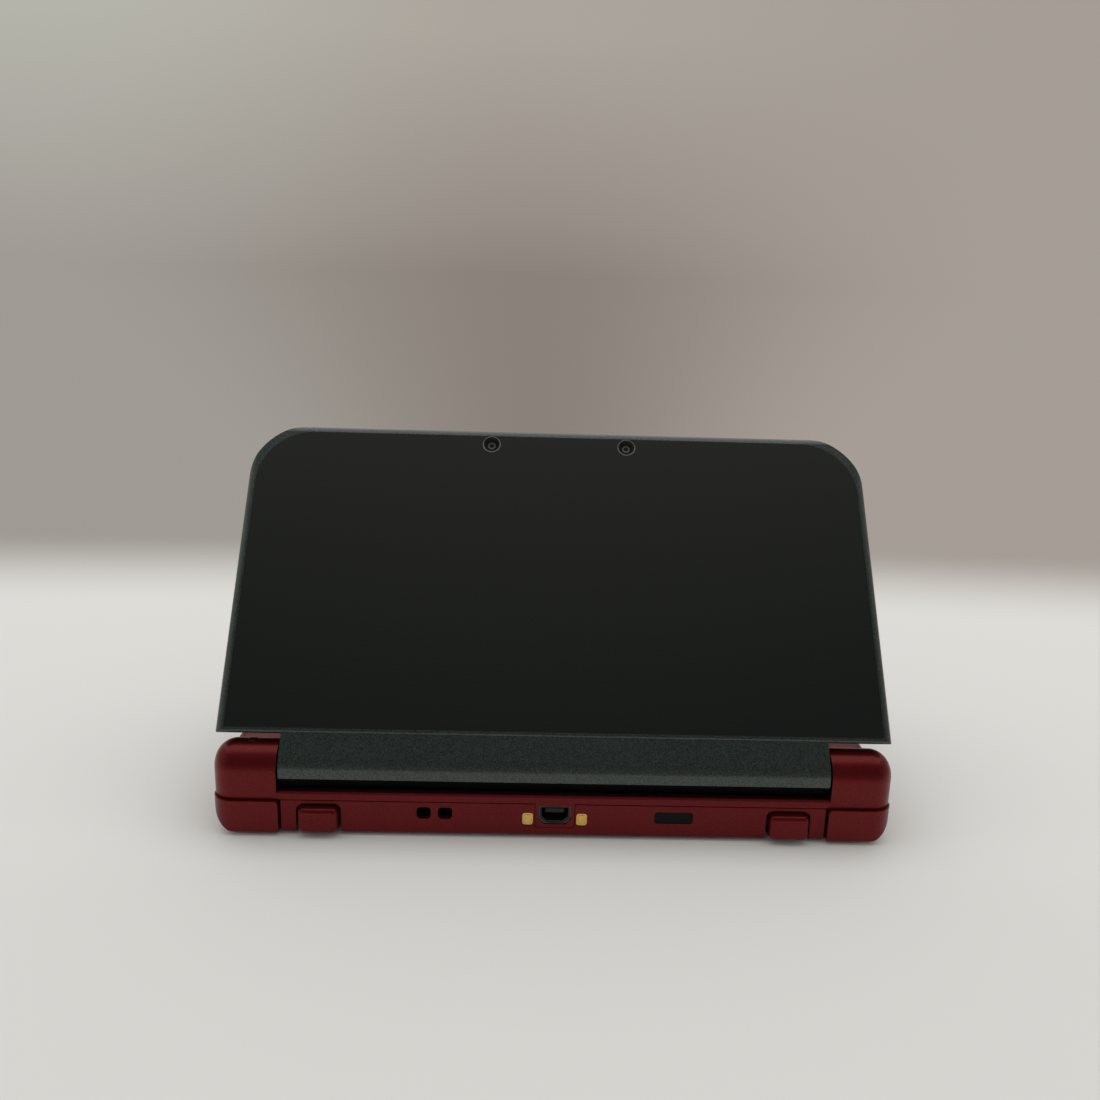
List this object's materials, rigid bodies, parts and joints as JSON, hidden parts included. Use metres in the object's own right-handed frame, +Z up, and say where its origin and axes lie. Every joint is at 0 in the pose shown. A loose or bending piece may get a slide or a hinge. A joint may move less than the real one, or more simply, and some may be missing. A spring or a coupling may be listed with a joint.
{
  "type": "clamshell handheld game console",
  "caption": "Two halves joined by a barrel hinge: a lid with a wide screen and a base with a touch screen, buttons, pads, shoulder triggers and a stylus.",
  "frame": {"origin": "centre of the overall box, on the surface the feet rest on", "axes": "+X the player's right, +Y towards the hinge and the back wall, +Z up"},
  "size_m": [0.1612, 0.0954, 0.0881],
  "materials": {
    "wine_metallic": "satin metallic lacquer",
    "wine_plastic": "fine matte",
    "lid_gloss": "high gloss with a faint weave",
    "lid_metallic": "satin metallic lacquer",
    "black_plastic": "fine matte",
    "black_gloss": "gloss",
    "button_plastic": "semi gloss",
    "pad_rubber": "soft matte",
    "screen_glass": "gloss",
    "camera_glass": "gloss",
    "ir_plastic": "gloss",
    "lcd_steel": "brushed",
    "circuit_board": "solder mask",
    "battery_wrap": "matte",
    "steel": "satin",
    "gold_plate": "polished",
    "silicone": "matte",
    "rubber_black": "matte",
    "light_pipe": "frosted",
    "bronze": "satin"
  },
  "bodies": {
    "base": {"bottom_cover": "wine_metallic", "lower_housing": "wine_metallic", "deck_panel": "wine_plastic", "touch_bezel": "black_gloss", "touch_panel": "screen_glass", "lower_lcd": "lcd_steel", "main_board": "circuit_board", "pad_board": "circuit_board", "battery": "battery_wrap", "card_slot": "steel", "microsd_socket": "steel", "charge_port": "steel", "cradle_contacts": "gold_plate", "ir_window": "ir_plastic", "headphone_jack": "black_plastic", "light_pipes": "light_pipe", "face_button_membrane": "silicone", "dpad_membrane": "silicone", "circle_pad_base": "black_plastic", "c_stick": "pad_rubber", "control_switches": "steel", "hinge_bushing": "bronze", "hinge_clutch": "steel", "shoulder_pins": "steel", "rubber_feet": "rubber_black", "cover_screws": "steel"},
    "lid": {"lid_shell": "lid_metallic", "lid_plate": "lid_gloss", "barrel_cover": "black_plastic", "lid_bezel": "black_plastic", "screen_lens": "screen_glass", "upper_lcd": "lcd_steel", "lid_board": "circuit_board", "speakers": "black_plastic", "outer_cameras": "black_gloss", "camera_windows": "camera_glass", "inner_camera": "black_gloss", "bumper_pads": "rubber_black", "screw_caps": "black_plastic", "hinge_pins": "steel"},
    "power_button": {"power_button": "button_plastic"},
    "home_button": {"home_button": "button_plastic"},
    "start_button": {"start_button": "button_plastic"},
    "select_button": {"select_button": "button_plastic"},
    "face_button_top": {"face_button_top": "button_plastic"},
    "face_button_right": {"face_button_right": "button_plastic"},
    "face_button_bottom": {"face_button_bottom": "button_plastic"},
    "face_button_left": {"face_button_left": "button_plastic"},
    "dpad_rocker": {"dpad_rocker": "black_plastic"},
    "dpad": {"dpad": "button_plastic"},
    "circle_pad_carriage": {"circle_pad_carriage": "black_plastic"},
    "circle_pad": {"circle_pad": "pad_rubber"},
    "shoulder_left": {"shoulder_left": "wine_metallic"},
    "shoulder_right": {"shoulder_right": "wine_metallic"},
    "trigger_left": {"trigger_left": "wine_metallic"},
    "trigger_right": {"trigger_right": "wine_metallic"},
    "stylus": {"stylus": "black_gloss"},
    "volume_slider": {"volume_slider": "button_plastic"},
    "depth_slider": {"depth_slider": "button_plastic"}
  },
  "joints": [
    {"name": "lid_hinge", "type": "hinge", "parent": "base", "child": "lid", "pos_m": [0, 0.03975, 0.0155], "axis": [-1, 0, 0], "range_deg": [-53, 102]},
    {"name": "face_button_top_press", "type": "slide", "parent": "base", "child": "face_button_top", "axis": [0, 0, -1], "range_m": [0, 0.0008], "stiffness_N_per_m": 600},
    {"name": "face_button_right_press", "type": "slide", "parent": "base", "child": "face_button_right", "axis": [0, 0, -1], "range_m": [0, 0.0008], "stiffness_N_per_m": 600},
    {"name": "face_button_bottom_press", "type": "slide", "parent": "base", "child": "face_button_bottom", "axis": [0, 0, -1], "range_m": [0, 0.0008], "stiffness_N_per_m": 600},
    {"name": "face_button_left_press", "type": "slide", "parent": "base", "child": "face_button_left", "axis": [0, 0, -1], "range_m": [0, 0.0008], "stiffness_N_per_m": 600},
    {"name": "start_button_press", "type": "slide", "parent": "base", "child": "start_button", "axis": [0, 0, -1], "range_m": [0, 0.0008], "stiffness_N_per_m": 600},
    {"name": "select_button_press", "type": "slide", "parent": "base", "child": "select_button", "axis": [0, 0, -1], "range_m": [0, 0.0008], "stiffness_N_per_m": 600},
    {"name": "home_button_press", "type": "slide", "parent": "base", "child": "home_button", "axis": [0, 0, -1], "range_m": [0, 0.0008], "stiffness_N_per_m": 600},
    {"name": "power_button_press", "type": "slide", "parent": "base", "child": "power_button", "axis": [0, 1, 0], "range_m": [0, 0.0006], "stiffness_N_per_m": 800},
    {"name": "trigger_left_press", "type": "slide", "parent": "base", "child": "trigger_left", "axis": [0, -1, 0], "range_m": [0, 0.001], "stiffness_N_per_m": 800},
    {"name": "trigger_right_press", "type": "slide", "parent": "base", "child": "trigger_right", "axis": [0, -1, 0], "range_m": [0, 0.001], "stiffness_N_per_m": 800},
    {"name": "shoulder_left_press", "type": "hinge", "parent": "base", "child": "shoulder_left", "pos_m": [-0.0668, 0.04155, 0.005], "axis": [0, 0, 1], "range_deg": [0, 4], "stiffness_Nm_per_rad": 0.08},
    {"name": "shoulder_right_press", "type": "hinge", "parent": "base", "child": "shoulder_right", "pos_m": [0.0668, 0.04155, 0.005], "axis": [0, 0, -1], "range_deg": [0, 4], "stiffness_Nm_per_rad": 0.08},
    {"name": "dpad_rock", "type": "hinge", "parent": "base", "child": "dpad_rocker", "pos_m": [-0.062, -0.01495, 0.0102], "axis": [1, 0, 0], "range_deg": [-2, 2], "stiffness_Nm_per_rad": 0.05},
    {"name": "dpad_tilt", "type": "hinge", "parent": "dpad_rocker", "child": "dpad", "pos_m": [-0.062, -0.01495, 0.0102], "axis": [0, 1, 0], "range_deg": [-2, 2], "stiffness_Nm_per_rad": 0.05},
    {"name": "circle_pad_x", "type": "slide", "parent": "base", "child": "circle_pad_carriage", "axis": [1, 0, 0], "range_m": [-0.00185, 0.00185], "stiffness_N_per_m": 60},
    {"name": "circle_pad_y", "type": "slide", "parent": "circle_pad_carriage", "child": "circle_pad", "axis": [0, 1, 0], "range_m": [-0.00185, 0.00185], "stiffness_N_per_m": 60},
    {"name": "stylus_slide", "type": "slide", "parent": "base", "child": "stylus", "axis": [0, -1, 0], "range_m": [0, 0.085]},
    {"name": "volume_slide", "type": "slide", "parent": "lid", "child": "volume_slider", "axis": [0, -0.6018, 0.7986], "range_m": [0, 0.009]},
    {"name": "depth_slide", "type": "slide", "parent": "lid", "child": "depth_slider", "axis": [0, -0.6018, 0.7986], "range_m": [0, 0.009]}
  ]
}
